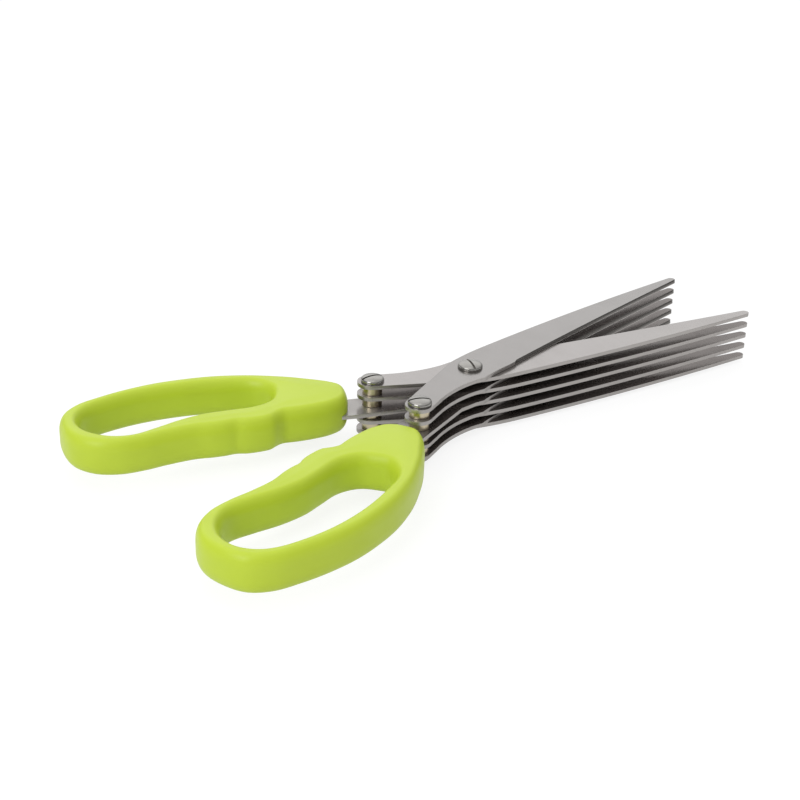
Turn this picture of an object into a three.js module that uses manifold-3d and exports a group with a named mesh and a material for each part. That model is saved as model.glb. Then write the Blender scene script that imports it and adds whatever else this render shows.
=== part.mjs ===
// Herb scissors with five pairs of blades, lying part open.
// Lengths are in millimetres. +Z is up, and +X runs from the pivot to the blade tips,
// midway between the two halves. The origin is on the pivot's axis, at the underside of its nut.
// Half A is the near half, with its handle on the -Y side. Half B is its mirror image across Y.
import * as THREE from "three";
import { mergeVertices } from "three/addons/utils/BufferGeometryUtils.js";
import Module from "manifold-3d";

// Stack of blades, from the top down: A1, B1, washer, A2, B2, washer and so on
const pairCount = 5;
const bladeThickness = 1.0;
const slidingPlay = 0.05;
const pairPitch = 3.21;
const tangPair = 3;

// Blade outline, in half A's own plane: the cutting edge faces -Y
const bladeReach = 91.6;
const tipRadius = 1.2;
const tipRise = 14.0;
const heelX = -1.0;
const heelDrop = 7.1;
const edgeBendX = 8.2;
const edgeBendDrop = 3.97;
const edgeStraightX = 20.0;
const edgeStraightDrop = 1.55;
const spineCrownX = 50.0;
const spineCrownRise = 13.2;
const spineRootX = 10.0;
const spineRootRise = 7.8;
const shoulderBendX = 3.6;
const shoulderBendRise = 6.9;
const shoulderX = -2.8;
const shoulderRise = 5.0;

// Tang of every blade, and the post that joins the tangs of one half
const postX = -24.1;
const postDrop = 9.4;
const tangEndRadius = 3.4;
const tangEndOverhang = 0.45;
const backBendX = -10.1;
const backBendDrop = 6.9;
const backStraightX = -17.0;
const backStraightDrop = 9.8;
const heelFlatX = -3.5;

// Long tang of the middle blade, which carries the handle
const longTangInnerX = -13.5;
const longTangInnerDrop = 0.3;
const longTangOuterX = -8.5;
const longTangOuterDrop = 7.3;
const longTangMouthX = -31.0;
const longTangMouthInnerDrop = 6.3;
const longTangMouthOuterDrop = 16.3;
const longTangEndX = -39.0;
const longTangEndInnerDrop = 9.8;
const longTangEndOuterDrop = 18.0;

// Handle: a closed loop with rounded edges, level with the middle pair of blades
const gripRearThickness = 10.0;
const gripFrontThickness = 10.4;
const gripEdgeInset = 1.9;
const gripEdgeDrop = 3.6;
const gripEdgeWallShare = 0.46;
const gripFrontX = -29.1;
const gripLength = 68.6;
const gripInnerDrop = 7.6;
const gripWidth = 36.9;
const tangSeatGap = 0.3;

// Posts: a slotted screw in a barrel nut with a low round head, and round spacers on the barrel
const postScrewRadius = 0.9;
const postBarrelRadius = 1.5;
const postHeadRadius = 2.95;
const postHeadSide = 0.9;
const postHeadCrown = 0.55;
const postFlangeRadius = 2.75;
const postFlangeHeight = 1.0;
const spacerRadius = 2.5;

// Pivot: a larger screw and barrel nut, and thin washers between the pairs of blades
const pivotScrewRadius = 1.3;
const pivotBarrelRadius = 2.0;
const pivotHeadRadius = 3.2;
const pivotHeadSide = 0.9;
const pivotHeadCrown = 0.6;
const pivotFlangeRadius = 3.1;
const pivotFlangeHeight = 1.2;
const pivotWasherRadius = 4.2;

// Fits that the screws share
const boreClearance = 0.15;
const threadClearance = 0.1;
const washerPlay = 0.05;
const barrelEndGap = 0.3;
const slotWidth = 0.6;
const slotDepth = 0.8;
const cutOverrun = 1.0;

// Facets
const arcSteps = 12;
const curveSteps = 7;
const loopSteps = 3;
const edgeSteps = 3;
const crownSteps = 4;

// Points closer than this are one point
const pointTolerance = 1e-5;

// Colours
const limePlastic = 0xc3da58;
const bladeSteel = 0xb4b0ad;
const screwSteel = 0xc4c3bb;
const nickel = 0xb9b496;

// Heights that the stack settles
const pairThickness = 2 * bladeThickness + slidingPlay;
const stackHeight = (pairCount - 1) * pairPitch + pairThickness;
const stackBottom = pivotFlangeHeight + washerPlay;
const stackTop = stackBottom + stackHeight;

const material = {
  plastic: { color: limePlastic, roughness: 0.45, metalness: 0.0 },
  blade: { color: bladeSteel, roughness: 0.35, metalness: 1.0 },
  screw: { color: screwSteel, roughness: 0.25, metalness: 1.0 },
  spacer: { color: nickel, roughness: 0.3, metalness: 1.0 },
};

// Outline of the handle, as shares of the grip's length from its front end
// and of its width from the side that faces the other handle
const gripOuterShares = [
  [-0.001, 0.238], [0.019, 0.1], [0.063, 0.019], [0.128, -0.003], [0.185, 0.011],
  [0.235, 0.033], [0.274, 0.057], [0.302, 0.076], [0.328, 0.068], [0.363, 0.049],
  [0.414, 0.065], [0.455, 0.092], [0.487, 0.127], [0.52, 0.141], [0.561, 0.165],
  [0.625, 0.214], [0.717, 0.247], [0.806, 0.266], [0.891, 0.309], [0.961, 0.404],
  [1, 0.553], [0.994, 0.721], [0.953, 0.886], [0.876, 0.973], [0.78, 0.997],
  [0.678, 1], [0.56, 0.976], [0.452, 0.921], [0.348, 0.846], [0.246, 0.734],
  [0.169, 0.621], [0.087, 0.472],
];
const gripHoleShares = [
  [0.229, 0.461], [0.254, 0.366], [0.296, 0.298], [0.364, 0.285], [0.452, 0.333],
  [0.534, 0.379], [0.634, 0.396], [0.736, 0.385], [0.824, 0.388], [0.889, 0.461],
  [0.929, 0.604], [0.917, 0.756], [0.859, 0.854], [0.751, 0.883], [0.62, 0.867],
  [0.485, 0.805], [0.362, 0.707], [0.265, 0.602],
];

// Turns the points of half A's plane into those of half A or, mirrored, of half B
function placed(points, side) {
  const moved = points.map((point) => new THREE.Vector2(point.x, point.y * side));
  return side > 0 ? moved : moved.reverse();
}

// Angle of the line from a point that touches a circle on its left (+1) or right (-1)
function tangentAngle(from, centre, radius, side) {
  const way = centre.clone().sub(from);
  return way.angle() + side * Math.asin(radius / way.length());
}

// Moves each corner of a closed outline outward, so that every edge moves by the distance
function grown(points, distance) {
  const count = points.length;
  const outward = THREE.ShapeUtils.isClockWise(points) ? -1 : 1;
  return points.map((point, i) => {
    const before = point.clone().sub(points[(i + count - 1) % count]).normalize();
    const after = points[(i + 1) % count].clone().sub(point).normalize();
    const normal = new THREE.Vector2(before.y + after.y, -before.x - after.x);
    const reach = (outward * distance) / (1 + before.dot(after));
    return point.clone().addScaledVector(normal, reach);
  });
}

// Outline of a short-tang blade
function bladeOutline() {
  const heel = new THREE.Vector2(heelX, -heelDrop);
  const edgeStart = new THREE.Vector2(edgeStraightX, -edgeStraightDrop);
  const tip = new THREE.Vector2(bladeReach - tipRadius, tipRise);
  const crown = new THREE.Vector2(spineCrownX, spineCrownRise);
  const shoulder = new THREE.Vector2(shoulderX, shoulderRise);
  const back = new THREE.Vector2(backStraightX, -backStraightDrop);
  const post = new THREE.Vector2(postX, -postDrop);
  const tangWay = post.clone().sub(shoulder.clone().add(back).multiplyScalar(0.5)).normalize();
  const tangEnd = post.clone().addScaledVector(tangWay, tangEndOverhang);

  const edgeAngle = tangentAngle(edgeStart, tip, tipRadius, -1);
  const spineAngle = tangentAngle(crown, tip, tipRadius, 1);
  const innerAngle = tangentAngle(shoulder, tangEnd, tangEndRadius, -1);
  const backAngle = tangentAngle(back, tangEnd, tangEndRadius, 1);
  const quarter = Math.PI / 2;

  const outline = new THREE.Shape();
  outline.moveTo(heel.x, heel.y);
  outline.quadraticCurveTo(edgeBendX, -edgeBendDrop, edgeStart.x, edgeStart.y);
  outline.absarc(tip.x, tip.y, tipRadius, edgeAngle - quarter, spineAngle + quarter, false);
  outline.quadraticCurveTo(crown.x, crown.y, spineRootX, spineRootRise);
  outline.quadraticCurveTo(shoulderBendX, shoulderBendRise, shoulder.x, shoulder.y);
  outline.absarc(
    tangEnd.x, tangEnd.y, tangEndRadius, innerAngle - quarter, backAngle + quarter, false,
  );
  outline.lineTo(back.x, back.y);
  outline.quadraticCurveTo(backBendX, -backBendDrop, heelFlatX, -backBendDrop);
  outline.closePath();
  return openPoints(outline.getPoints(curveSteps));
}

// Outline of the middle blade, whose tang runs on into the handle
function longTangOutline() {
  const short = bladeOutline();
  const shoulderAt = short.findIndex((point) => Math.abs(point.x - shoulderX) < pointTolerance);
  const heelAt = short.findIndex((point) => Math.abs(point.x - heelFlatX) < pointTolerance);
  const tang = [
    [longTangInnerX, longTangInnerDrop],
    [longTangMouthX, longTangMouthInnerDrop],
    [longTangEndX, longTangEndInnerDrop],
    [longTangEndX, longTangEndOuterDrop],
    [longTangMouthX, longTangMouthOuterDrop],
    [longTangOuterX, longTangOuterDrop],
  ].map(([x, drop]) => new THREE.Vector2(x, -drop));
  return [...short.slice(0, shoulderAt + 1), ...tang, ...short.slice(heelAt)];
}

// Drops repeated points, and the last point where it repeats the first
function openPoints(points) {
  return points.filter((point, i) => {
    const next = points[(i + 1) % points.length];
    return point.distanceTo(next) > pointTolerance;
  });
}

function circlePoints(x, y, radius) {
  const points = [];
  for (let i = 0; i < 2 * arcSteps; i += 1) {
    const angle = (Math.PI * i) / arcSteps;
    points.push(new THREE.Vector2(x + radius * Math.cos(angle), y + radius * Math.sin(angle)));
  }
  return points;
}

// Smooth closed curve through points given as shares of the grip
function gripLoop(shares) {
  const points = shares.map(
    ([along, across]) =>
      new THREE.Vector3(
        gripFrontX - gripLength * along,
        -gripInnerDrop - gripWidth * across,
        0,
      ),
  );
  const curve = new THREE.CatmullRomCurve3(points, true, "centripetal");
  const loop = [];
  const steps = points.length * loopSteps;
  for (let i = 0; i < steps; i += 1) {
    const point = curve.getPoint(i / steps);
    loop.push(new THREE.Vector2(point.x, point.y));
  }
  return loop;
}

// Flat plate of an outline with holes, between two heights
function plate(points, holes, bottom, top) {
  const shape = new THREE.Shape(points);
  shape.holes = holes.map((hole) => new THREE.Path(hole));
  const geometry = new THREE.ExtrudeGeometry(shape, { depth: top - bottom, bevelEnabled: false });
  return geometry.translate(0, 0, bottom);
}

// Least distance from a hole's corners to the outline round it
function leastWall(points, hole) {
  const corners = points.map(({ x, y }) => new THREE.Vector3(x, y, 0));
  const nearest = new THREE.Vector3();
  const distances = corners.flatMap((corner, i) => {
    const edge = new THREE.Line3(corner, corners[(i + 1) % corners.length]);
    return hole.map(({ x, y }) => {
      const holeCorner = new THREE.Vector3(x, y, 0);
      return edge.closestPointToPoint(holeCorner, true, nearest).distanceTo(holeCorner);
    });
  });
  return Math.min(...distances);
}

// Loop-shaped plate, halfway up at height zero, of the grip's rear thickness. Its edges are
// rounded as far as the wall round its hole has room for
function gripPlate(points, hole) {
  const shape = new THREE.Shape(points);
  shape.holes = [new THREE.Path(hole)];
  const inset = Math.min(gripEdgeInset, gripEdgeWallShare * leastWall(points, hole));
  const geometry = new THREE.ExtrudeGeometry(shape, {
    depth: gripRearThickness - 2 * gripEdgeDrop,
    bevelThickness: gripEdgeDrop,
    bevelSize: inset,
    bevelOffset: -inset,
    bevelSegments: edgeSteps,
  });
  return geometry.translate(0, 0, gripEdgeDrop - gripRearThickness / 2);
}

const wasm = await Module();
wasm.setup();

function toSolid(geometry) {
  const bare = geometry.clone();
  bare.deleteAttribute("normal");
  bare.deleteAttribute("uv");
  const merged = mergeVertices(bare, pointTolerance);
  return new wasm.Manifold(
    new wasm.Mesh({
      numProp: 3,
      vertProperties: new Float32Array(merged.attributes.position.array),
      triVerts: new Uint32Array(merged.index.array),
    }),
  );
}

function toGeometry(solid) {
  const mesh = solid.getMesh();
  const geometry = new THREE.BufferGeometry();
  geometry.setAttribute("position", new THREE.BufferAttribute(mesh.vertProperties, 3));
  geometry.setIndex(new THREE.BufferAttribute(mesh.triVerts, 1));
  geometry.computeVertexNormals();
  return geometry;
}

// Body of revolution about an upright axis, from a closed list of radius and height
function turned(profile, x, y) {
  const points = profile.map(([radius, height]) => new THREE.Vector2(radius, height));
  const geometry = new THREE.LatheGeometry(points, 2 * arcSteps);
  return geometry.rotateX(Math.PI / 2).translate(x, y, 0);
}

// Screw with a domed, slotted head that stands on a height, and a shank down to its end
function slottedScrew({ x, y, seat, end, shankRadius, headRadius, side, crown, slotAngle }) {
  const crownRadius = (headRadius * headRadius + crown * crown) / (2 * crown);
  const crownCentre = seat + side + crown - crownRadius;
  const profile = [[0, end], [shankRadius, end], [shankRadius, seat], [headRadius, seat]];
  for (let i = 0; i <= crownSteps; i += 1) {
    const radius = headRadius * (1 - i / crownSteps);
    profile.push([radius, crownCentre + Math.sqrt(crownRadius * crownRadius - radius * radius)]);
  }
  const body = toSolid(turned(profile, x, y));
  const top = seat + side + crown + cutOverrun;
  const floor = seat + side + crown - slotDepth;
  const slot = new THREE.BoxGeometry(2 * (headRadius + cutOverrun), slotWidth, top - floor);
  slot.rotateZ(slotAngle);
  slot.translate(x, y, (top + floor) / 2);
  return toGeometry(body.subtract(toSolid(slot)));
}

function ring(x, y, outerRadius, innerRadius, bottom, top) {
  return plate(circlePoints(x, y, outerRadius), [circlePoints(x, y, innerRadius)], bottom, top);
}

// Nut with a low round head under the stack and a threaded barrel up through it
function barrelNut({ x, y, bottom, flangeHeight, flangeRadius, barrelRadius, screwRadius, top }) {
  const bore = screwRadius + threadClearance;
  const seat = bottom + flangeHeight;
  const profile = [
    [bore, bottom],
    [flangeRadius, bottom],
    [flangeRadius, seat],
    [barrelRadius, seat],
    [barrelRadius, top],
    [bore, top],
    [bore, bottom],
  ];
  return turned(profile, x, y);
}

function named(name, geometry, look) {
  const mesh = new THREE.Mesh(geometry, new THREE.MeshStandardMaterial(look));
  mesh.name = name;
  return mesh;
}

// Underside of a half's blade in one pair: B's blades lie just under A's
function bladeBottom(pair, side) {
  const top = stackTop - (pair - 1) * pairPitch - (side > 0 ? 0 : bladeThickness + slidingPlay);
  return top - bladeThickness;
}

const postBore = postBarrelRadius + boreClearance;
const pivotBore = pivotBarrelRadius + boreClearance;

function blade(pair, side) {
  const outline = placed(pair === tangPair ? longTangOutline() : bladeOutline(), side);
  const holes = [
    circlePoints(0, 0, pivotBore),
    circlePoints(postX, -postDrop * side, postBore),
  ];
  const bottom = bladeBottom(pair, side);
  return plate(outline, holes, bottom, bottom + bladeThickness);
}

// Tapers the grip between its rear thickness and its front one
function taper(geometry) {
  const places = geometry.attributes.position;
  for (let i = 0; i < places.count; i += 1) {
    const along = (gripFrontX - places.getX(i)) / gripLength;
    const thickness = THREE.MathUtils.lerp(gripFrontThickness, gripRearThickness, along);
    places.setZ(i, (places.getZ(i) * thickness) / gripRearThickness);
  }
}

// Handle moulded round the long tang, with the seat for the tang cut out of it
function handle(side) {
  const body = gripPlate(
    placed(gripLoop(gripOuterShares), side),
    placed(gripLoop(gripHoleShares), side),
  );
  taper(body);
  body.translate(0, 0, stackBottom + stackHeight / 2);
  const tangBottom = bladeBottom(tangPair, side);
  const seat = plate(
    grown(placed(longTangOutline(), side), tangSeatGap),
    [],
    tangBottom - tangSeatGap,
    tangBottom + bladeThickness + tangSeatGap,
  );
  return toGeometry(toSolid(body).subtract(toSolid(seat)));
}

// All pieces of one half: its handle, blades, and the post through their tangs
function half(letter, side, slotAngle) {
  const pieces = new THREE.Group();
  const y = -postDrop * side;
  pieces.add(named(`handle_${letter}`, handle(side), material.plastic));
  for (let pair = 1; pair <= pairCount; pair += 1) {
    pieces.add(named(`blade_${letter}${pair}`, blade(pair, side), material.blade));
  }
  for (let pair = 1; pair < pairCount; pair += 1) {
    const bottom = bladeBottom(pair + 1, side) + bladeThickness;
    const top = bladeBottom(pair, side);
    const spacer = ring(postX, y, spacerRadius, postBore, bottom, top);
    pieces.add(named(`post_spacer_${letter}${pair}`, spacer, material.spacer));
  }
  const headSeat = bladeBottom(1, side) + bladeThickness;
  const nutBottom = bladeBottom(pairCount, side) - postFlangeHeight;
  const screw = slottedScrew({
    x: postX,
    y,
    seat: headSeat,
    end: nutBottom,
    shankRadius: postScrewRadius,
    headRadius: postHeadRadius,
    side: postHeadSide,
    crown: postHeadCrown,
    slotAngle,
  });
  pieces.add(named(`post_screw_${letter}`, screw, material.screw));
  const nut = barrelNut({
    x: postX,
    y,
    bottom: nutBottom,
    flangeHeight: postFlangeHeight,
    flangeRadius: postFlangeRadius,
    barrelRadius: postBarrelRadius,
    screwRadius: postScrewRadius,
    top: headSeat - barrelEndGap,
  });
  pieces.add(named(`post_nut_${letter}`, nut, material.screw));
  return pieces;
}

// The pivot's screw, its nut, and a washer between each two pairs of blades
function pivot(slotAngle) {
  const pieces = new THREE.Group();
  const screw = slottedScrew({
    x: 0,
    y: 0,
    seat: stackTop,
    end: 0,
    shankRadius: pivotScrewRadius,
    headRadius: pivotHeadRadius,
    side: pivotHeadSide,
    crown: pivotHeadCrown,
    slotAngle,
  });
  pieces.add(named("pivot_screw", screw, material.screw));
  const nut = barrelNut({
    x: 0,
    y: 0,
    bottom: 0,
    flangeHeight: pivotFlangeHeight,
    flangeRadius: pivotFlangeRadius,
    barrelRadius: pivotBarrelRadius,
    screwRadius: pivotScrewRadius,
    top: stackTop - barrelEndGap,
  });
  pieces.add(named("pivot_nut", nut, material.screw));
  for (let pair = 1; pair < pairCount; pair += 1) {
    const bottom = bladeBottom(pair + 1, 1) + bladeThickness + washerPlay;
    const top = bladeBottom(pair, -1) - washerPlay;
    const washer = ring(0, 0, pivotWasherRadius, pivotBore, bottom, top);
    pieces.add(named(`pivot_washer_${pair}`, washer, material.spacer));
  }
  return pieces;
}

const postSlotAngleA = THREE.MathUtils.degToRad(-28);
const postSlotAngleB = THREE.MathUtils.degToRad(-10);
const pivotSlotAngle = THREE.MathUtils.degToRad(72);

const scissors = new THREE.Group();
scissors.add(half("a", 1, postSlotAngleA));
scissors.add(half("b", -1, postSlotAngleB));
scissors.add(pivot(pivotSlotAngle));

export default scissors;
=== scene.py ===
"""Looks of the herb scissors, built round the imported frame."""

import math

import bmesh
import bpy
from bpy.props import FloatProperty, FloatVectorProperty, IntProperty, PointerProperty
from mathutils import Matrix, Vector, kdtree
from mathutils.geometry import interpolate_bezier, intersect_line_line_2d


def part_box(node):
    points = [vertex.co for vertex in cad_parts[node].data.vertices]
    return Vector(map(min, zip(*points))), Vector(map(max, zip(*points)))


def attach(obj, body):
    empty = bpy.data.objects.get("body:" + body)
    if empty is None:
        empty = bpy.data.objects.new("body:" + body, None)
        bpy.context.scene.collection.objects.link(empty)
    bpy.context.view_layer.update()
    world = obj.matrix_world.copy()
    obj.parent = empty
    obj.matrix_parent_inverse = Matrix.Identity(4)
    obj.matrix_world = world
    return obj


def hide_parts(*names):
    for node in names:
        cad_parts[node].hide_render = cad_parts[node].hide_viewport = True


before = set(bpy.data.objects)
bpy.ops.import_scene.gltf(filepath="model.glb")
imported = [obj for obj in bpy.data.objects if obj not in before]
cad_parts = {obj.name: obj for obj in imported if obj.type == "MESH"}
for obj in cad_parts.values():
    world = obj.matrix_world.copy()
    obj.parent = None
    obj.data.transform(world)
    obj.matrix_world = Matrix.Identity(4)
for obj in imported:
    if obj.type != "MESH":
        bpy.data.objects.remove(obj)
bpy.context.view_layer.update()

bl_info = {
    "name": "Herb Scissors",
    "version": (1, 0, 0),
    "blender": (4, 5, 0),
    "location": "View3D > Sidebar > Scissors",
    "description": "Builds five-bladed herb scissors round their packed frame",
    "category": "Object",
}

MM = 0.001
HALVES = {"a": 1, "b": -1}
PAIRS, MIDDLE_PAIR = range(1, 6), 3
GAPS = range(1, 5)

# Distances in metres under which two places are the same or near, area in square metres of a
# speck, and how upright a level face's normal is
SAME, NEAR, SPECK = 1e-7, 1e-6, 1e-12
LEVEL = 0.9999

# Outside and opening of half A's handle, each from its front end, in millimetres
GRIP_OUTER = [
    (-29.0, -16.4), (-30.4, -11.3), (-33.4, -8.3), (-37.9, -7.5), (-41.8, -8.0),
    (-45.2, -8.8), (-47.9, -9.7), (-49.8, -10.4), (-51.6, -10.1), (-54.0, -9.4),
    (-57.5, -10.0), (-60.3, -11.0), (-62.5, -12.3), (-64.8, -12.8), (-67.6, -13.7),
    (-72.0, -15.5), (-78.3, -16.7), (-84.4, -17.4), (-90.2, -19.0), (-95.0, -22.5),
    (-97.68, -28.0), (-97.3, -34.2), (-94.5, -40.3), (-89.2, -43.5), (-82.6, -44.38),
    (-75.6, -44.48), (-67.5, -43.6), (-60.1, -41.6), (-53.0, -38.8), (-46.0, -34.7),
    (-40.7, -30.5), (-35.1, -25.0),
]
GRIP_HOLE = [
    (-44.8, -24.6), (-46.5, -21.1), (-49.4, -18.6), (-54.1, -18.1), (-60.1, -19.9),
    (-65.7, -21.6), (-72.6, -22.2), (-79.6, -21.8), (-85.6, -21.9), (-90.1, -24.6),
    (-92.8, -29.9), (-92.0, -35.5), (-88.0, -39.1), (-80.6, -40.2), (-71.6, -39.6),
    (-62.4, -37.3), (-53.9, -33.7), (-47.3, -29.8),
]

# Steps from each point of the handle's two curves to the next, points round them before they are
# paired, steps over the rounded rim, and cuts across the flat
CURVE_STEPS, OUTER_POINTS, HOLE_POINTS = 32, 700, 500
RIM_STEPS, CROWN_STEPS = 9, 7

# Most that the two curves stand apart, and distance over which the crown rises, in millimetres
WIDEST, CROWN_REACH = 40, 4

# Bores and outline of half A's blade, in millimetres. A name that ends in TURN is the control
# point of a curve that starts or ends at the point named before it
PIVOT, PIVOT_BORE = (0.0, 0.0), 2.15
POST, POST_BORE = (-24.1, -9.4), 1.65
TIP, TIP_RADIUS = (90.39, 14.0), 1.2
HEEL, HEEL_TURN = (-1.0, -7.05), (2.2, -5.75)
EDGE_START, EDGE_TURN = (9.55, -4.57), (37.8, 2.24)
SPINE_START, SPINE_TURN = (10.0, 7.8), (50.0, 13.2)
SHOULDER, SHOULDER_TURN = (-2.8, 5.0), (3.6, 6.9)
BACK, BACK_TURN, BELLY = (-17.0, -9.8), (-10.1, -6.9), (-3.5, -6.9)
TANG_RADIUS, TANG_OFFSET = 3.4, 0.45
LONG_TANG = [
    (-13.5, -0.3), (-31.0, -6.3), (-39.0, -9.8),
    (-39.0, -18.0), (-31.0, -16.3), (-8.5, -7.3),
]

# Place along the blade from which its edge is ground, and how close to a bore's centre edges keep
# their corners, in millimetres
GROUND_START, BORE_REACH = 13.0, 2.4

# Angle of the brushed grain to a blade, and of half A's blades to the X axis, in degrees
GRAIN_ANGLE, BLADE_SLANT = 90.0, 9.0

# Order of a blade's materials; the last is the painted shade on faces inside the stack
FACE, STAMPED, GROUND, INNER = range(4)

# Places along the blades, in metres, between which they come to lie under one another at the rear
# and come out again at the tips, where the painted shade between the blades fades in and out
REAR_COVER, TIP_COVER = (-0.0275, -0.0225), (0.07, 0.092)

# Steps round a screw and round a ring, and steps over a screw's dome
SCREW_STEPS, RING_STEPS, DOME_STEPS = 64, 56, 10

# Camera: its place in metres, the ways in which the picture's right, down and depth point, its
# focal length and picture width in pixels, and its sensor's width in millimetres
VIEW_PLACE = (-0.234050, -0.260917, 0.172748)
VIEW_RIGHT = (0.784859, -0.619067, 0.027419)
VIEW_DOWN = (-0.246720, -0.352771, -0.902597)
VIEW_AHEAD = (0.568441, 0.701647, -0.429612)
FOCAL_PIXELS, PICTURE_PIXELS, SENSOR = 1503.44, 800, 36.0

# Share of mirrored and refracted rays that see the pale background, share of the floor that
# glows for the rays that see it, and strength of that glow
MIRRORED_SHARE, FLOOR_SHARE, FLOOR_GLOW = 0.6, 0.75, 1.13

# Even light from above and two soft panels: way to the middle, and the dot products of a ray with
# it at which the light starts and is full
SKY = ((0.2, 0.25, 1.0), 0.3, 0.8)
PANEL_BEHIND = ((0.465, 0.774, 0.430), 0.74, 0.97)
PANEL_IN_FRONT = ((-0.615, -0.768, 0.180), 0.2, 0.9)

# Soft boxes: place and side in metres; and the point that they face
OVERHEAD_BOX = ((-0.25, 0.15, 0.9), 0.9)
FRONT_BOX = ((-0.95, -0.25, 0.6), 0.6)
FACED = (0.0, 0.0, 0.01)


def linear(red, green, blue):
    """Colour for a shader from its screen values of 0 to 255."""
    return tuple(
        c / 12.92 if c <= 0.04045 else ((c + 0.055) / 1.055) ** 2.4
        for c in (red / 255, green / 255, blue / 255)
    )


def length(name, text, value):
    """Length property with a default in millimetres."""
    return FloatProperty(
        name=name, description=text, default=value * MM, min=0.0,
        unit="LENGTH", subtype="DISTANCE", precision=5,
    )


def colour(name, text, red, green, blue):
    """Colour property with a default in screen values of 0 to 255."""
    return FloatVectorProperty(
        name=name, description=text, default=linear(red, green, blue),
        subtype="COLOR", min=0.0, max=1.0,
    )


class HandleSettings(bpy.types.PropertyGroup):
    rear_thickness: length("Rear thickness", "Thickness at the rear of the grip", 10.0)
    front_thickness: length("Front thickness", "Thickness at the front of the grip", 10.4)
    rim_inset: length("Rim inset", "How far the rounded rim reaches inward", 1.95)
    rim_drop: length("Rim drop", "How far the rounded rim reaches down the side", 3.7)
    crown: length("Crown", "How far the middle of a wide stretch rises", 0.25)
    outline_points: IntProperty(
        name="Outline points", description="Points round the outline", default=360, min=60,
    )
    plastic: colour("Plastic", "Colour of the moulded plastic", 193, 214, 58)


class BladeSettings(bpy.types.PropertyGroup):
    edge_round: length("Edge rounding", "Rounding along the blades' edges", 0.07)
    bevel_width: length("Bevel width", "Width of the bevel ground on the cutting edge", 0.4)
    bevel_depth: length("Bevel depth", "How deep the ground bevel goes", 0.8)
    # Half A's face is painted a shade darker than half B's, for the less light that it reflects;
    # both halves are the same steel
    steel_a: colour("Steel, upper half", "Brushed face of half A's blades", 154, 151, 149)
    steel_b: colour("Steel, lower half", "Brushed face of half B's blades", 167, 163, 161)
    stamped: colour("Stamped edge", "Side of a blade as it was stamped out", 176, 172, 169)
    # Painted shade of the narrow gaps between the blades, on the faces inside the stack
    gap_shade: colour("Steel in painted gap shade", "Faces of the blades that lie inside the stack", 106, 97, 93)
    ground: colour("Ground edge", "Bevel where a blade was ground", 120, 117, 114)


class FastenerSettings(bpy.types.PropertyGroup):
    slot_width: length("Slot width", "Width of the driver slots", 0.6)
    slot_depth: length("Slot depth", "Depth of the driver slots", 0.8)
    rim: length("Rim rounding", "Rounding of the heads' rims", 0.6)
    chamfer: length("Chamfer", "Chamfer on spacers, washers and nuts", 0.12)
    polished: colour("Polished steel", "Colour of the screws and nuts", 160, 158, 154)
    nickel: colour("Nickel", "Colour of the spacers", 205, 194, 168)
    # The pivot's washers are painted dark, as the shade in the gaps between the blades that they
    # sit in
    washer_shade: colour("Washer steel in painted shade", "Colour of the pivot's washers", 70, 68, 66)


class StageSettings(bpy.types.PropertyGroup):
    floor_size: FloatProperty(
        name="Floor size", description="Side of the square floor", default=40.0,
        unit="LENGTH", subtype="DISTANCE",
    )
    floor: colour("Floor", "Colour of the floor", 232, 232, 232)
    key_power: FloatProperty(
        name="Overhead light", description="Power of the soft box above", default=1.2,
        subtype="POWER",
    )
    fill_power: FloatProperty(
        name="Front light", description="Power of the soft box in front", default=4.0,
        subtype="POWER",
    )
    high_sky: FloatProperty(
        name="Light above", description="Strength of the even light from above", default=0.9,
    )
    low_sky: FloatProperty(
        name="Light all round", description="Strength of the light near the horizon", default=0.3,
    )
    front: FloatProperty(
        name="Light in front", description="Strength of the low light in front of the handles",
        default=0.18,
    )
    panel: FloatProperty(
        name="Light behind", description="Strength of the soft panel behind the blades",
        default=0.45,
    )


class ScissorsSettings(bpy.types.PropertyGroup):
    handle: PointerProperty(type=HandleSettings)
    blade: PointerProperty(type=BladeSettings)
    fastener: PointerProperty(type=FastenerSettings)
    stage: PointerProperty(type=StageSettings)


# Materials


def new_group(name, inputs, outputs):
    """Empty node group with its sockets, and its nodes for what comes in and goes out."""
    group = bpy.data.node_groups.new(name, "ShaderNodeTree")
    for label, kind, default in inputs:
        socket = group.interface.new_socket(label, in_out="INPUT", socket_type=kind)
        if default is not None:
            socket.default_value = default
    for label, kind in outputs:
        group.interface.new_socket(label, in_out="OUTPUT", socket_type=kind)
    return group, group.nodes.new("NodeGroupInput"), group.nodes.new("NodeGroupOutput")


def add(tree, kind, inputs=(), **settings):
    """Node with its settings, and values or links for its inputs."""
    node = tree.nodes.new(kind)
    for key, value in settings.items():
        setattr(node, key, value)
    for key, value in dict(inputs).items():
        if isinstance(value, bpy.types.NodeSocket):
            tree.links.new(value, node.inputs[key])
        else:
            node.inputs[key].default_value = value
    return node


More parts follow.
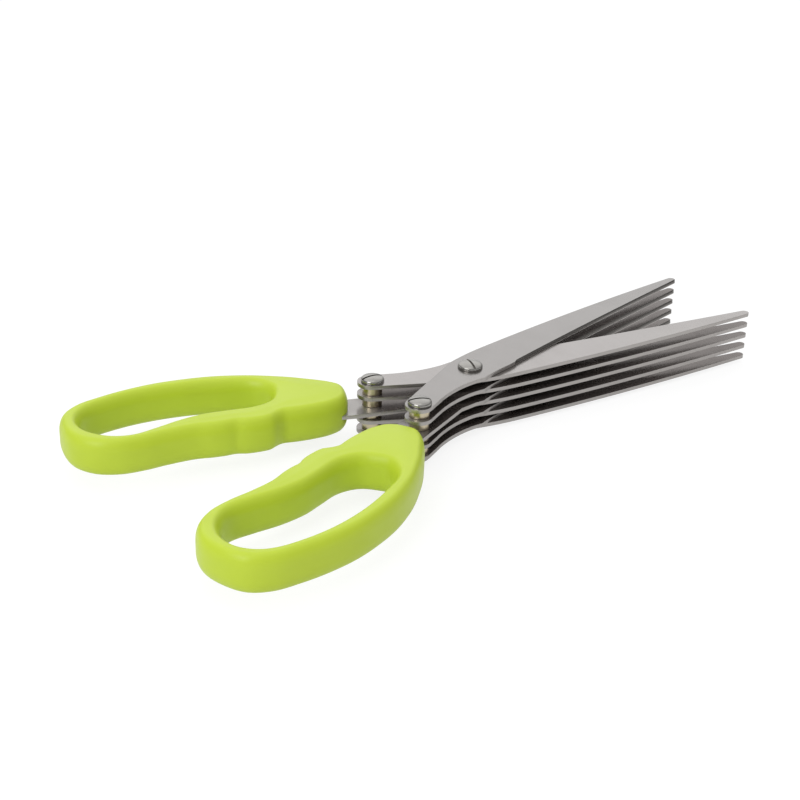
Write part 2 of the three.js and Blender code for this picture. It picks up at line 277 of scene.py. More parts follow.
def marks_group():
    """Marks of handling: one mask of broad smudges and one of fine scratches."""
    name = "Handling marks"
    if name in bpy.data.node_groups:
        return bpy.data.node_groups[name]
    group, given, out = new_group(
        name,
        [("Vector", "NodeSocketVector", None), ("Scale", "NodeSocketFloat", 1.0)],
        [("Smudge", "NodeSocketFloat"), ("Scratch", "NodeSocketFloat")],
    )
    size = add(
        group, "ShaderNodeVectorMath",
        {0: given.outputs["Vector"], "Scale": given.outputs["Scale"]}, operation="SCALE",
    )
    cloud = add(
        group, "ShaderNodeTexNoise",
        {"Vector": size.outputs[0], "Scale": 90.0, "Detail": 4.0, "Roughness": 0.6},
    )
    smudge = add(
        group, "ShaderNodeMapRange",
        {"Value": cloud.outputs["Fac"], "From Min": 0.42, "From Max": 0.68},
    )
    first = add(
        group, "ShaderNodeMapping",
        {"Vector": size.outputs[0], "Rotation": (0.3, 0.2, 0.7), "Scale": (60.0, 2200.0, 900.0)},
    )
    lines = add(
        group, "ShaderNodeTexNoise",
        {"Vector": first.outputs[0], "Scale": 1.0, "Detail": 1.0, "Distortion": 0.4},
    )
    scratch = add(
        group, "ShaderNodeMapRange",
        {"Value": lines.outputs["Fac"], "From Min": 0.68, "From Max": 0.78},
    )
    group.links.new(smudge.outputs[0], out.inputs["Smudge"])
    group.links.new(scratch.outputs[0], out.inputs["Scratch"])
    return group


def grain_group():
    """Lines along a brushed surface: a fine height, and a broader tone."""
    name = "Line grain"
    if name in bpy.data.node_groups:
        return bpy.data.node_groups[name]
    group, given, out = new_group(
        name,
        [("Vector", "NodeSocketVector", None), ("Fineness", "NodeSocketFloat", 1.0)],
        [("Height", "NodeSocketFloat"), ("Tone", "NodeSocketFloat")],
    )
    size = add(
        group, "ShaderNodeVectorMath",
        {0: given.outputs["Vector"], "Scale": given.outputs["Fineness"]}, operation="SCALE",
    )
    long = add(
        group, "ShaderNodeMapping",
        {"Vector": size.outputs[0], "Scale": (110.0, 9000.0, 9000.0)},
    )
    lines = add(
        group, "ShaderNodeTexNoise",
        {"Vector": long.outputs[0], "Scale": 1.0, "Detail": 3.0, "Roughness": 0.7},
    )
    broad = add(
        group, "ShaderNodeMapping",
        {"Vector": size.outputs[0], "Scale": (40.0, 1500.0, 1500.0)},
    )
    bands = add(
        group, "ShaderNodeTexNoise",
        {"Vector": broad.outputs[0], "Scale": 1.0, "Detail": 2.0},
    )
    group.links.new(lines.outputs["Fac"], out.inputs["Height"])
    group.links.new(bands.outputs["Fac"], out.inputs["Tone"])
    return group


def surface(name, roughness, metallic):
    """Material with a Principled shader, and the piece's own coordinates."""
    material = bpy.data.materials.new(name)
    material.use_nodes = True
    tree = material.node_tree
    shader = tree.nodes["Principled BSDF"]
    shader.inputs["Roughness"].default_value = roughness
    shader.inputs["Metallic"].default_value = metallic
    coordinates = tree.nodes.new("ShaderNodeTexCoord").outputs["Object"]
    return material, tree, shader, coordinates


def grouped(tree, group, inputs):
    """Node that places a group in a material, with its own values."""
    return add(tree, "ShaderNodeGroup", inputs, node_tree=group)


def mixed(tree, mask, first, second):
    """Colour between two, which may be values or sockets."""
    return add(
        tree, "ShaderNodeMix", {0: mask, 6: first, 7: second}, data_type="RGBA",
    ).outputs[2]


def varied(tree, colour_value, mask, shift):
    """Colour that falls to a share of itself where the mask is strong."""
    other = (c * shift for c in colour_value)
    return mixed(tree, mask, (*colour_value, 1.0), (*other, 1.0))


def rough(tree, shader, mask, low, high):
    """Roughness that goes from low to high with the mask."""
    spread = add(
        tree, "ShaderNodeMapRange", {"Value": mask, "To Min": low, "To Max": high},
    )
    tree.links.new(spread.outputs[0], shader.inputs["Roughness"])


def bumped(tree, shader, height, strength, distance):
    """Relief from a height, with its depth in metres."""
    bump = add(
        tree, "ShaderNodeBump",
        {"Height": height, "Strength": strength, "Distance": distance},
    )
    tree.links.new(bump.outputs["Normal"], shader.inputs["Normal"])


def plastic_material(colour_value):
    """Satin plastic with a fine skin, faint smudges and scratches."""
    material, tree, shader, place = surface("Moulded plastic", 0.36, 0.0)
    shader.inputs["Specular IOR Level"].default_value = 0.38
    marks = grouped(tree, marks_group(), {"Vector": place, "Scale": 1.0})
    tint = varied(tree, colour_value, marks.outputs["Smudge"], 0.975)
    tree.links.new(tint, shader.inputs["Base Color"])
    rough(tree, shader, marks.outputs["Smudge"], 0.36, 0.44)
    skin = add(tree, "ShaderNodeTexNoise", {"Vector": place, "Scale": 2600.0, "Detail": 2.0})
    total = add(
        tree, "ShaderNodeMath",
        {0: marks.outputs["Scratch"], 1: -0.5, 2: skin.outputs["Fac"]},
        operation="MULTIPLY_ADD",
    )
    bumped(tree, shader, total.outputs[0], 0.12, 0.00003)
    return material


def covered_share(tree, place):
    """How much the blades shade one another: not on the bare tang, and less at the tips."""
    along = add(tree, "ShaderNodeSeparateXYZ", {0: place}).outputs["X"]
    rear = add(
        tree, "ShaderNodeMapRange",
        {"Value": along, "From Min": REAR_COVER[0], "From Max": REAR_COVER[1]},
        interpolation_type="SMOOTHSTEP",
    )
    tips = add(
        tree, "ShaderNodeMapRange",
        {
            "Value": along, "From Min": TIP_COVER[0], "From Max": TIP_COVER[1],
            "To Min": 1.0, "To Max": 0.9,
        },
        interpolation_type="SMOOTHSTEP",
    )
    return add(
        tree, "ShaderNodeMath", {0: rear.outputs[0], 1: tips.outputs[0]}, operation="MULTIPLY",
    ).outputs[0]


def steel_material(name, colour_value, turn, roughness, strength, gap_shade=None):
    """Steel whose grain is turned about the upright axis, with painted shade inside the stack if
    asked.
    """
    material, tree, shader, place = surface(name, roughness, 1.0)
    along = add(
        tree, "ShaderNodeMapping", {"Vector": place, "Rotation": (0.0, 0.0, turn)},
    )
    grain = grouped(tree, grain_group(), {"Vector": along.outputs[0], "Fineness": 1.0})
    marks = grouped(tree, marks_group(), {"Vector": along.outputs[0], "Scale": 1.3})
    tint = varied(tree, colour_value, grain.outputs["Tone"], 0.93)
    # Painted shade: faces inside the stack turn darker and less metallic where the blades cover one
    # another
    if gap_shade:
        shader.inputs["Metallic"].default_value = 0.6
        inner = varied(tree, gap_shade, grain.outputs["Tone"], 0.9)
        tint = mixed(tree, covered_share(tree, place), tint, inner)
    tree.links.new(tint, shader.inputs["Base Color"])
    rough(tree, shader, marks.outputs["Smudge"], roughness - 0.03, roughness + 0.06)
    bumped(tree, shader, grain.outputs["Height"], strength, 0.00002)
    return material


def turned_material(name, colour_value, roughness):
    """Metal of small turned parts, with handling marks."""
    material, tree, shader, place = surface(name, roughness, 1.0)
    marks = grouped(tree, marks_group(), {"Vector": place, "Scale": 4.0})
    tint = varied(tree, colour_value, marks.outputs["Smudge"], 0.9)
    tree.links.new(tint, shader.inputs["Base Color"])
    rough(tree, shader, marks.outputs["Smudge"], roughness, roughness + 0.08)
    bumped(tree, shader, marks.outputs["Scratch"], 0.15, 0.00001)
    return material


# Meshes


def finished(name, bm, body, slot, *materials, replaces):
    """Object from a bmesh, on its body, standing for its CAD node."""
    mesh = bpy.data.meshes.new(name)
    bm.to_mesh(mesh)
    bm.free()
    for material in materials:
        mesh.materials.append(material)
    piece = bpy.data.objects.new(name, mesh)
    bpy.context.scene.collection.objects.link(piece)
    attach(piece, body)
    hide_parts(replaces)


def smooth_closed(points, count):
    """Points at even steps along a smooth closed curve through the points given."""
    points = [Vector(p) for p in points]
    total = len(points)
    fine = []
    for i, start in enumerate(points):
        end = points[(i + 1) % total]
        gap = (end - start).length
        out_way = points[(i + 1) % total] - points[i - 1]
        in_way = points[(i + 2) % total] - start
        first = start + out_way.normalized() * gap / 3
        last = end - in_way.normalized() * gap / 3
        fine += interpolate_bezier(start, first, last, end, CURVE_STEPS + 1)[:-1]
    return even_steps(fine, count)


def even_steps(points, count):
    """Points at even steps along a closed run of points."""
    steps = [(points[(i + 1) % len(points)] - p).length for i, p in enumerate(points)]
    stride = sum(steps) / count
    even, passed, wanted = [], 0.0, 0.0
    for i, p in enumerate(points):
        while wanted < passed + steps[i] and len(even) < count:
            share = (wanted - passed) / steps[i]
            even.append(p.lerp(points[(i + 1) % len(points)], share))
            wanted += stride
        passed += steps[i]
    return even


def paired(outer, hole, side, count):
    """Both loops with as many points, paired so that lines across meet the hole squarely."""
    pairs = []
    for i, point in enumerate(hole):
        way = hole[(i + 1) % len(hole)] - hole[i - 1]
        far = point.xy + Vector((way.y, -way.x)).normalized() * side * WIDEST * MM
        hits = [
            intersect_line_line_2d(point.xy, far, outer[k - 1].xy, outer[k].xy)
            for k in range(len(outer))
        ]
        nearest = min((h for h in hits if h), key=lambda h: (h - point.xy).length)
        pairs.append(nearest.to_3d().to_tuple() + point.to_tuple())
    spread = even_steps([Vector(p) for p in pairs], count)
    return [Vector(q[:3]) for q in spread], [Vector(q[3:]) for q in spread]


def ring_of_edges(bm, points, height):
    """Closed loop of edges through flat points at a height."""
    verts = [bm.verts.new((p[0], p[1], height)) for p in points]
    return [bm.edges.new((v, verts[(i + 1) % len(verts)])) for i, v in enumerate(verts)]


def scaled(points, side):
    """Millimetre points of half A, in metres, mirrored for half B."""
    return [Vector((x * MM, y * MM * side, 0.0)) for x, y in points]


def is_level(face):
    return abs(face.normal.z) > LEVEL


def shade(bm, limit, flat_ends=False):
    """Smooth shading with sharp edges past an angle and, if asked, round level faces."""
    for face in bm.faces:
        face.smooth = True
    for edge in bm.edges:
        if len(edge.link_faces) != 2:
            continue
        sharp = edge.calc_face_angle() > limit
        if flat_ends:
            first, second = edge.link_faces
            sharp = sharp or is_level(first) != is_level(second)
        edge.smooth = not sharp


def handle_mesh(sizes, side, middle):
    """Handle with a rim as deep as it is wide, which `crowned` then draws out to its height."""
    outer, hole = paired(
        smooth_closed(scaled(GRIP_OUTER, side), OUTER_POINTS),
        smooth_closed(scaled(GRIP_HOLE, side), HOLE_POINTS),
        side, sizes.outline_points,
    )
    squeeze = sizes.rim_inset / sizes.rim_drop
    thickness = sizes.rear_thickness * squeeze
    bm = bmesh.new()
    loops = ring_of_edges(bm, outer, 0.0) + ring_of_edges(bm, hole, 0.0)
    bmesh.ops.bridge_loops(bm, edges=loops)
    walls = bmesh.ops.extrude_face_region(bm, geom=bm.faces[:])
    raised = [v for v in walls["geom"] if isinstance(v, bmesh.types.BMVert)]
    bmesh.ops.translate(bm, verts=raised, vec=(0.0, 0.0, thickness))
    bmesh.ops.translate(bm, verts=bm.verts, vec=(0.0, 0.0, -thickness / 2))
    bmesh.ops.recalc_face_normals(bm, faces=bm.faces)
    # A rim joins a level face, whose normal rises by 1, to a wall, whose normal rises by 0
    rims = [
        e for e in bm.edges
        if len(e.link_faces) == 2
        and 0.5 < sum(abs(f.normal.z) for f in e.link_faces) < 1.5
    ]
    bmesh.ops.bevel(
        bm, geom=rims, offset=sizes.rim_inset, offset_type="OFFSET", affect="EDGES",
        segments=RIM_STEPS, profile=0.5, material=-1, clamp_overlap=False,
    )
    rungs = [
        e for e in bm.edges
        if all(is_level(f) and f.calc_area() > SPECK for f in e.link_faces)
    ]
    bmesh.ops.subdivide_edges(bm, edges=rungs, cuts=CROWN_STEPS, use_grid_fill=True)
    crowned(bm, sizes, outer + hole, thickness / 2, middle)
    shade(bm, math.radians(60))
    return bm


def crowned(bm, sizes, outline, half, middle):
    """Set a handle's heights: thicker in front, and raised in the middle of a wide stretch."""
    tree = kdtree.KDTree(len(outline))
    for i, p in enumerate(outline):
        tree.insert(p, i)
    tree.balance()
    front = max(p.x for p in outline)
    reach = front - min(p.x for p in outline)
    for v in bm.verts:
        deep = tree.find(Vector((v.co.x, v.co.y, 0.0)))[2] - sizes.rim_inset
        share = min(1.0, max(0.0, deep / (CROWN_REACH * MM)))
        rise = sizes.crown * (share * share * (3 - 2 * share) - 1.0)
        along = (front - v.co.x) / reach
        wanted = sizes.front_thickness + (sizes.rear_thickness - sizes.front_thickness) * along
        level = v.co.z / half
        v.co.z = middle + level * (wanted / 2 + rise * abs(level))


def arc(centre, radius, start, end, steps):
    """Points along an arc from one angle to another."""
    angles = [start + (end - start) * i / steps for i in range(steps + 1)]
    return [
        (centre[0] + radius * math.cos(angle), centre[1] + radius * math.sin(angle))
        for angle in angles
    ]


def bend(start, control, end, steps):
    """Curve from start to end that leaves and arrives towards the control point."""
    start, control, end = (Vector((*p, 0.0)) for p in (start, control, end))
    first = start.lerp(control, 2 / 3)
    last = end.lerp(control, 2 / 3)
    return [tuple(p.xy) for p in interpolate_bezier(start, first, last, end, steps + 1)]


def touch(point, centre, radius, side):
    """Angle of the line from a point that touches a circle on its left or right."""
    way = Vector(centre) - Vector(point)
    return math.atan2(way.y, way.x) + side * math.asin(radius / way.length)


def blade_outline(long_tang):
    """Outline of half A's blade in millimetres, anticlockwise from the heel."""
    quarter = math.pi / 2
    edge = touch(EDGE_TURN, TIP, TIP_RADIUS, -1)
    spine = touch(SPINE_TURN, TIP, TIP_RADIUS, 1)
    end_of_blade = arc(TIP, TIP_RADIUS, edge - quarter, spine + quarter, 16)
    points = bend(HEEL, HEEL_TURN, EDGE_START, 12)[:-1]
    points += bend(EDGE_START, EDGE_TURN, end_of_blade[0], 50)[:-1] + end_of_blade
    points += bend(points[-1], SPINE_TURN, SPINE_START, 30)
    points += bend(SPINE_START, SHOULDER_TURN, SHOULDER, 14)[1:]
    if long_tang:
        return points + LONG_TANG + [BELLY]
    way = (Vector(POST) - (Vector(SHOULDER) + Vector(BACK)) / 2).normalized()
    end = tuple(Vector(POST) + way * TANG_OFFSET)
    start = touch(SHOULDER, end, TANG_RADIUS, -1) - quarter + 2 * math.pi
    stop = touch(BACK, end, TANG_RADIUS, 1) + quarter
    points += arc(end, TANG_RADIUS, start, stop, 28)
    return points + [BACK] + bend(BACK, BACK_TURN, BELLY, 14)[1:]


def grind(bm, sizes, side, level, outward):
    """Plane the cutting edge to a slope, on the face that turns away from the other half."""
    foot = level - outward * sizes.bevel_depth
    bmesh.ops.bisect_plane(
        bm, geom=bm.verts[:] + bm.edges[:] + bm.faces[:], dist=SAME,
        plane_co=(0.0, 0.0, foot), plane_no=(0.0, 0.0, 1.0),
    )
    corner = Vector(EDGE_TURN) * MM
    along = touch(EDGE_TURN, TIP, TIP_RADIUS, -1)
    inward = Vector((-math.sin(along), math.cos(along)))
    for v in bm.verts:
        place = Vector((v.co.x, v.co.y * side))
        above = max(0.0, (place - corner).dot(inward))
        on_edge = place.x > GROUND_START * MM and above < sizes.bevel_width
        if on_edge and abs(v.co.z - level) < SAME:
            shift = inward * (sizes.bevel_width - above)
            v.co += Vector((shift.x, shift.y * side, 0.0))
    bm.normal_update()
    for face in bm.faces:
        if 0.1 < abs(face.normal.z) < 0.9:
            face.material_index = GROUND


def blade_mesh(sizes, side, low, high, long_tang):
    """Blade between two heights, with its bores, its ground edge and its corners broken."""
    outline = scaled(blade_outline(long_tang), side)
    bm = bmesh.new()
    ring_of_edges(bm, outline, low)
    centres = [Vector((x * MM, y * MM * side)) for x, y in (PIVOT, POST)]
    for centre, radius in zip(centres, (PIVOT_BORE, POST_BORE)):
        bmesh.ops.create_circle(
            bm, segments=40, radius=radius * MM, matrix=Matrix.Translation((*centre, low)),
        )
    bmesh.ops.remove_doubles(bm, verts=bm.verts, dist=NEAR)
    bmesh.ops.triangle_fill(bm, edges=bm.edges, use_beauty=True)
    top = bmesh.ops.extrude_face_region(bm, geom=bm.faces[:])
    raised = [v for v in top["geom"] if isinstance(v, bmesh.types.BMVert)]
    bmesh.ops.translate(bm, verts=raised, vec=(0.0, 0.0, high - low))
    bmesh.ops.recalc_face_normals(bm, faces=bm.faces)
    grind(bm, sizes, side, high if side > 0 else low, side)
    rims = [
        e for e in bm.edges
        if abs(e.calc_face_angle(0.0) - math.pi / 2) < 0.1
        and abs(e.verts[0].co.z - e.verts[1].co.z) < SAME
        and min((e.verts[0].co.xy - c).length for c in centres) > BORE_REACH * MM
    ]
    bmesh.ops.bevel(
        bm, geom=rims, offset=sizes.edge_round, offset_type="OFFSET", affect="EDGES",
        segments=2, profile=0.5, material=-1, clamp_overlap=True,
    )
    for face in bm.faces:
        if face.material_index == FACE and not is_level(face):
            face.material_index = STAMPED
    shade(bm, math.radians(35), flat_ends=True)
    return bm


def spun(profile, x, y, steps):
    """Body turned about an upright axis from a list of radius and height."""
    bm = bmesh.new()
    verts = [bm.verts.new((x + radius, y, height)) for radius, height in profile]
    edges = [bm.edges.new(pair) for pair in zip(verts, verts[1:])]
    bmesh.ops.spin(
        bm, geom=verts + edges, cent=(x, y, 0.0), axis=(0.0, 0.0, 1.0),
        angle=2 * math.pi, steps=steps, use_merge=True,
    )
    bmesh.ops.remove_doubles(bm, verts=bm.verts, dist=SAME)
    bmesh.ops.recalc_face_normals(bm, faces=bm.faces)
    return bm


def rounded(corner, radius, before, after, steps):
    """Points of a rounded profile corner between two neighbours."""
    corner = Vector(corner)
    start = corner + (Vector(before) - corner).normalized() * radius
    end = corner + (Vector(after) - corner).normalized() * radius
    return bend(start, corner, end, steps)


def screw_profile(sizes, low, high, shank, side, crown):
    """Half section of a screw: its shank, and a head with a straight side, a rim and a dome."""
    head = (high.x - low.x) / 2
    seat = high.z - side - crown
    dome = (head * head + crown * crown) / (2 * crown)
    centre = high.z - dome
    lip = (head, seat + side)
    inner = head - sizes.rim
    rim_end = (inner, centre + math.sqrt(dome**2 - inner**2))
    profile = [(0.0, low.z), (shank, low.z), (shank, seat)]
    profile += rounded((head, seat), sizes.chamfer, (0.0, seat), lip, 2)
    profile += bend((head, seat + side - sizes.rim), lip, rim_end, 5)
    for i in range(1, DOME_STEPS + 1):
        radius = inner * (1 - i / DOME_STEPS)
        profile.append((radius, centre + math.sqrt(dome**2 - radius**2)))
    return profile


def cut_slot(bm, half, floor):
    """Cut a slot along Y through a head that stands on the origin, and fill its walls and floor."""
    for place, normal in (
        ((half, 0, 0), (1, 0, 0)), ((-half, 0, 0), (1, 0, 0)), ((0, 0, floor), (0, 0, 1)),
    ):
        bmesh.ops.bisect_plane(
            bm, geom=bm.verts[:] + bm.edges[:] + bm.faces[:], dist=SAME,
            plane_co=place, plane_no=normal,
        )
    cut = [
        f for f in bm.faces
        if abs(f.calc_center_median().x) < half and f.calc_center_median().z > floor
    ]
    bmesh.ops.delete(bm, geom=cut, context="FACES")
    ends = {
        (v.co.x > 0, v.co.y > 0): v
        for v in bm.verts
        if v.is_boundary and abs(v.co.z - floor) < NEAR and abs(abs(v.co.x) - half) < NEAR
    }
    for right in (True, False):
        bm.edges.new((ends[(right, True)], ends[(right, False)]))
    bmesh.ops.edgenet_fill(bm, edges=[e for e in bm.edges if len(e.link_faces) < 2])
    bmesh.ops.recalc_face_normals(bm, faces=bm.faces)


def screw_mesh(sizes, node, shank, side, crown, angle):
    """Screw with a domed head, and a slot at an angle from the X axis."""
    low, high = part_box(node)
    bm = spun(screw_profile(sizes, low, high, shank, side, crown), 0.0, 0.0, SCREW_STEPS)
    cut_slot(bm, sizes.slot_width / 2, high.z - sizes.slot_depth)
    place = Matrix.Translation(((low.x + high.x) / 2, (low.y + high.y) / 2, 0.0))
    turn = Matrix.Rotation(angle - math.pi / 2, 4, "Z")
    bmesh.ops.transform(bm, matrix=place @ turn, verts=bm.verts)
    shade(bm, math.radians(40))
    return bm


def chamfered_ring(sizes, node, bore):
    """Ring between a node's ends, with its outer corners broken."""
    low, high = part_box(node)
    radius = (high.x - low.x) / 2
    bottom, top, cut = low.z, high.z, sizes.chamfer
    profile = [
        (bore, bottom), (radius - cut, bottom), (radius, bottom + cut),
        (radius, top - cut), (radius - cut, top), (bore, top), (bore, bottom),
    ]
    bm = spun(profile, (low.x + high.x) / 2, (low.y + high.y) / 2, RING_STEPS)
    shade(bm, math.radians(40))
    return bm


def nut_mesh(sizes, node, bore, barrel, flange_height):
    """Nut with a low round head and a barrel up through the stack."""
    low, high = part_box(node)
    radius = (high.x - low.x) / 2
    bottom, seat, cut = low.z, low.z + flange_height, sizes.chamfer
    profile = [
        (bore + cut, bottom), (radius - 2 * cut, bottom), (radius, bottom + 2 * cut),
        (radius, seat - cut), (radius - cut, seat), (barrel, seat), (barrel, high.z),
        (bore, high.z), (bore, bottom + cut), (bore + cut, bottom),
    ]
    bm = spun(profile, (low.x + high.x) / 2, (low.y + high.y) / 2, RING_STEPS)
    shade(bm, math.radians(30))
    return bm


# Operators


class BuildHandles(bpy.types.Operator):
    """Mould the two handles round the long tangs"""

    bl_idname = "scissors.handles"
    bl_label = "Handles"

    def execute(self, context):
        sizes = context.scene.scissors.handle
        plastic = plastic_material(sizes.plastic[:])
        for letter, side in HALVES.items():
            low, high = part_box(f"handle_{letter}")
            bm = handle_mesh(sizes, side, (low.z + high.z) / 2)
            finished(
                f"grip_{letter}", bm, f"half_{letter}", "handle_plastic", plastic,
                replaces=f"handle_{letter}",
            )
        return {"FINISHED"}


class BuildBlades(bpy.types.Operator):
    """Stamp the ten blades, each with its tang"""

    bl_idname = "scissors.blades"
    bl_label = "Blades"

    def execute(self, context):
        sizes = context.scene.scissors.blade
        for letter, side in HALVES.items():
            turn = math.radians(GRAIN_ANGLE - BLADE_SLANT * side)
            # Half A's darker face is painted shade, for the less light that its blades reflect
            face = sizes.steel_a if side > 0 else sizes.steel_b
            looks = (
                steel_material(f"Brushed steel {letter}", face[:], turn, 0.2, 0.5),
                steel_material(f"Stamped edge {letter}", sizes.stamped[:], turn, 0.42, 0.5),
                steel_material(f"Ground edge {letter}", sizes.ground[:], turn, 0.25, 0.2),
                # The last look is painted shade for the faces inside the stack
                steel_material(
                    f"Steel in painted shade {letter}", face[:], turn, 0.25, 0.25, gap_shade=sizes.gap_shade[:],
                ),
            )
            for pair in PAIRS:
                node = f"blade_{letter}{pair}"
                low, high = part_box(node)
                bm = blade_mesh(sizes, side, low.z, high.z, pair == MIDDLE_PAIR)
                # Faces that lie under or over another blade take the painted shade
                for steel in bm.faces:
                    inside = pair > PAIRS[0] if steel.normal.z > 0.0 else pair < PAIRS[-1]
                    if steel.material_index == FACE and inside:
                        steel.material_index = INNER
                finished(
                    f"steel_{node}", bm, f"half_{letter}", "blade_steel", *looks, replaces=node,
                )
        return {"FINISHED"}


class BuildFasteners(bpy.types.Operator):
    """Turn the screws, nuts, spacers and washers"""

    bl_idname = "scissors.fasteners"
    bl_label = "Screws and spacers"

    def execute(self, context):
        sizes = context.scene.scissors.fastener
        polished = turned_material("Polished steel", sizes.polished[:], 0.18)
        nickel = turned_material("Nickel", sizes.nickel[:], 0.28)
        # The washers are painted dark so that they sink into the shade between the blades
        shaded_washer = turned_material("Washer steel in painted shade", sizes.washer_shade[:], 0.35)
        # Node, body, shank's radius, head's side and crown, and angle of the slot
        screws = (
            ("post_screw_a", "half_a", 0.9, 0.9, 0.55, -28.0),
            ("post_screw_b", "half_b", 0.9, 0.9, 0.55, -10.0),
            ("pivot_screw", "half_a", 1.3, 0.9, 0.6, 72.0),
        )
        for node, body, shank, side, crown, angle in screws:
            bm = screw_mesh(sizes, node, shank * MM, side * MM, crown * MM, math.radians(angle))
            finished(f"turned_{node}", bm, body, "screw_steel", polished, replaces=node)
        # Node, body, bore's and barrel's radius, and height of the head
        nuts = (
            ("post_nut_a", "half_a", 1.0, 1.5, 1.0),
            ("post_nut_b", "half_b", 1.0, 1.5, 1.0),
            ("pivot_nut", "half_a", 1.4, 2.0, 1.2),
        )
        for node, body, bore, barrel, flange in nuts:
            bm = nut_mesh(sizes, node, bore * MM, barrel * MM, flange * MM)
            finished(f"turned_{node}", bm, body, "screw_steel", polished, replaces=node)
        for gap in GAPS:
            for letter in HALVES:
                node = f"post_spacer_{letter}{gap}"
                bm = chamfered_ring(sizes, node, POST_BORE * MM)
                finished(
                    f"turned_{node}", bm, f"half_{letter}", "spacer_nickel", nickel, replaces=node,
                )
            node = f"pivot_washer_{gap}"
            bm = chamfered_ring(sizes, node, PIVOT_BORE * MM)
            finished(f"turned_{node}", bm, "half_a", "spacer_nickel", shaded_washer, replaces=node)
        return {"FINISHED"}


def seen_rays(tree):
    """1 for rays from the camera, and less for those that mirror or pass through a surface."""
    path = tree.nodes.new("ShaderNodeLightPath")
    either = add(
        tree, "ShaderNodeMath",
        {0: path.outputs["Is Glossy Ray"], 1: path.outputs["Is Transmission Ray"]},
        operation="MAXIMUM",
    )
    faint = add(
        tree, "ShaderNodeMath", {0: either.outputs[0], 1: MIRRORED_SHARE}, operation="MULTIPLY",
    )
    return add(
        tree, "ShaderNodeMath", {0: path.outputs["Is Camera Ray"], 1: faint.outputs[0]},
        operation="MAXIMUM",
    ).outputs[0]


def light_from(tree, way, middle, start, full, low, high):
    """Strength of the light round a middle way, between two dot products of a ray with it."""
    towards = add(tree, "ShaderNodeVectorMath", {0: way, 1: middle}, operation="DOT_PRODUCT")
    return add(
        tree, "ShaderNodeMapRange",
        {
            "Value": towards.outputs["Value"], "From Min": start, "From Max": full,
            "To Min": low, "To Max": high,
        },
        interpolation_type="SMOOTHSTEP",
    ).outputs[0]


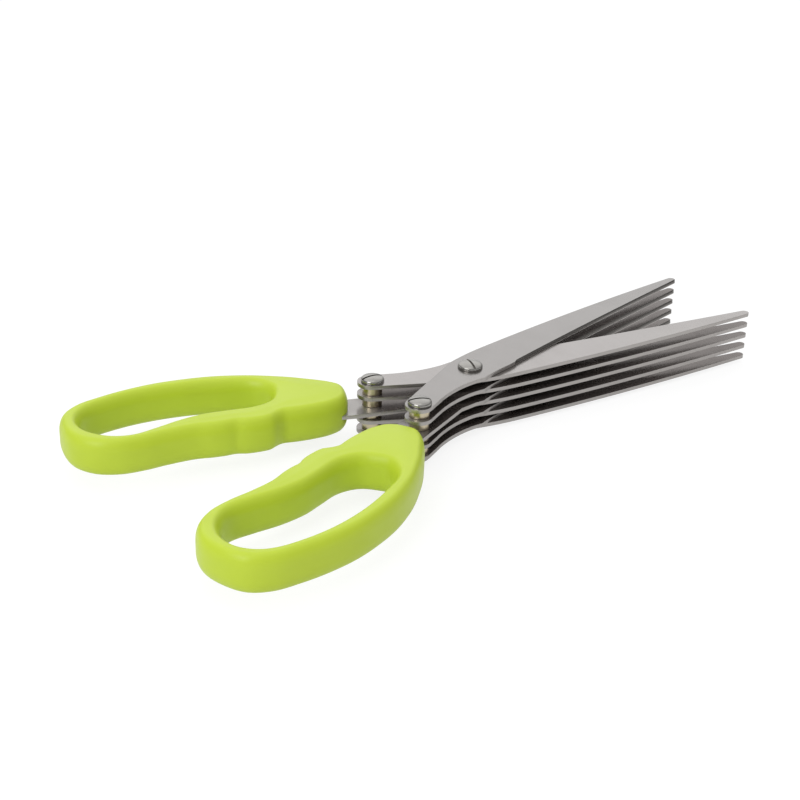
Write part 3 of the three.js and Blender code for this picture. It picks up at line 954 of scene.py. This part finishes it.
class BuildStage(bpy.types.Operator):
    """Lay the pale floor, hang the soft lights and set the camera"""

    bl_idname = "scissors.stage"
    bl_label = "Stage"

    def execute(self, context):
        scene = context.scene
        settings = scene.scissors.stage
        self.floor(scene, settings)
        self.room(scene, settings)
        self.lamp(scene, "overhead", settings.key_power, *OVERHEAD_BOX)
        self.lamp(scene, "front", settings.fill_power, *FRONT_BOX)
        self.camera(scene)
        scene.view_settings.view_transform = "Standard"
        return {"FINISHED"}

    def camera(self, scene):
        data = bpy.data.cameras.new("view")
        data.sensor_width = SENSOR
        data.lens = SENSOR * FOCAL_PIXELS / PICTURE_PIXELS
        data.clip_start = 0.01
        camera = bpy.data.objects.new("view", data)
        axes = (Vector(VIEW_RIGHT), -Vector(VIEW_DOWN), -Vector(VIEW_AHEAD))
        turn = Matrix(axes).transposed().to_4x4()
        camera.matrix_world = Matrix.Translation(VIEW_PLACE) @ turn
        scene.collection.objects.link(camera)
        scene.camera = camera

    def floor(self, scene, settings):
        bm = bmesh.new()
        bmesh.ops.create_grid(bm, x_segments=1, y_segments=1, size=settings.floor_size / 2)
        mesh = bpy.data.meshes.new("floor")
        bm.to_mesh(mesh)
        bm.free()
        floor = bpy.data.objects.new("floor", mesh)
        scene.collection.objects.link(floor)
        material, tree, shader, place = surface("Pale floor", 0.9, 0.0)
        cloud = add(tree, "ShaderNodeTexNoise", {"Vector": place, "Scale": 8.0})
        tint = varied(tree, settings.floor[:], cloud.outputs["Fac"], 0.99)
        tree.links.new(tint, shader.inputs["Base Color"])
        shader.inputs["Specular IOR Level"].default_value = 0.0
        glow = add(
            tree, "ShaderNodeEmission", {"Color": (1.0, 1.0, 1.0, 1.0), "Strength": FLOOR_GLOW},
        )
        share = add(
            tree, "ShaderNodeMath", {0: seen_rays(tree), 1: FLOOR_SHARE}, operation="MULTIPLY",
        )
        mix = add(tree, "ShaderNodeMixShader", {0: share.outputs[0]})
        tree.links.new(shader.outputs[0], mix.inputs[1])
        tree.links.new(glow.outputs[0], mix.inputs[2])
        tree.links.new(mix.outputs[0], tree.nodes["Material Output"].inputs["Surface"])
        mesh.materials.append(material)

    def room(self, scene, settings):
        world = bpy.data.worlds.new("room")
        world.use_nodes = True
        scene.world = world
        tree = world.node_tree
        background = tree.nodes["Background"]
        background.inputs["Color"].default_value = (1.0, 1.0, 1.0, 1.0)
        way = tree.nodes.new("ShaderNodeTexCoord").outputs["Generated"]
        total = light_from(tree, way, *SKY, settings.low_sky, settings.high_sky)
        for panel, strength in ((PANEL_BEHIND, settings.panel), (PANEL_IN_FRONT, settings.front)):
            part = light_from(tree, way, *panel, 0.0, strength)
            total = add(tree, "ShaderNodeMath", {0: total, 1: part}).outputs[0]
        path = tree.nodes.new("ShaderNodeLightPath")
        shown = add(
            tree, "ShaderNodeMix", {0: path.outputs["Is Camera Ray"], 2: total, 3: 1.0},
            data_type="FLOAT",
        )
        tree.links.new(shown.outputs[0], background.inputs["Strength"])

    def lamp(self, scene, name, power, place, size):
        data = bpy.data.lights.new(name, "AREA")
        data.energy = power
        data.size = size
        lamp = bpy.data.objects.new(name, data)
        lamp.location = place
        way = Vector(FACED) - Vector(place)
        lamp.rotation_euler = way.to_track_quat("-Z", "Y").to_euler()
        scene.collection.objects.link(lamp)


class ScissorsPanel(bpy.types.Panel):
    """Sizes and colours of the scissors, and a button for each group of pieces"""

    bl_idname = "VIEW3D_PT_scissors"
    bl_label = "Herb scissors"
    bl_space_type = "VIEW_3D"
    bl_region_type = "UI"
    bl_category = "Scissors"

    def draw(self, context):
        settings = context.scene.scissors
        for part, operator in (
            ("handle", BuildHandles), ("blade", BuildBlades),
            ("fastener", BuildFasteners), ("stage", BuildStage),
        ):
            box = self.layout.box()
            box.operator(operator.bl_idname)
            group = getattr(settings, part)
            for name in group.__annotations__:
                box.prop(group, name)


CLASSES = (
    HandleSettings, BladeSettings, FastenerSettings, StageSettings, ScissorsSettings,
    BuildHandles, BuildBlades, BuildFasteners, BuildStage, ScissorsPanel,
)


def register():
    for each in CLASSES:
        bpy.utils.register_class(each)
    bpy.types.Scene.scissors = PointerProperty(type=ScissorsSettings)


def unregister():
    del bpy.types.Scene.scissors
    for each in reversed(CLASSES):
        bpy.utils.unregister_class(each)


def main():
    register()
    bpy.ops.scissors.stage()
    bpy.ops.scissors.handles()
    bpy.ops.scissors.blades()
    bpy.ops.scissors.fasteners()


if __name__ == "__main__":
    main()
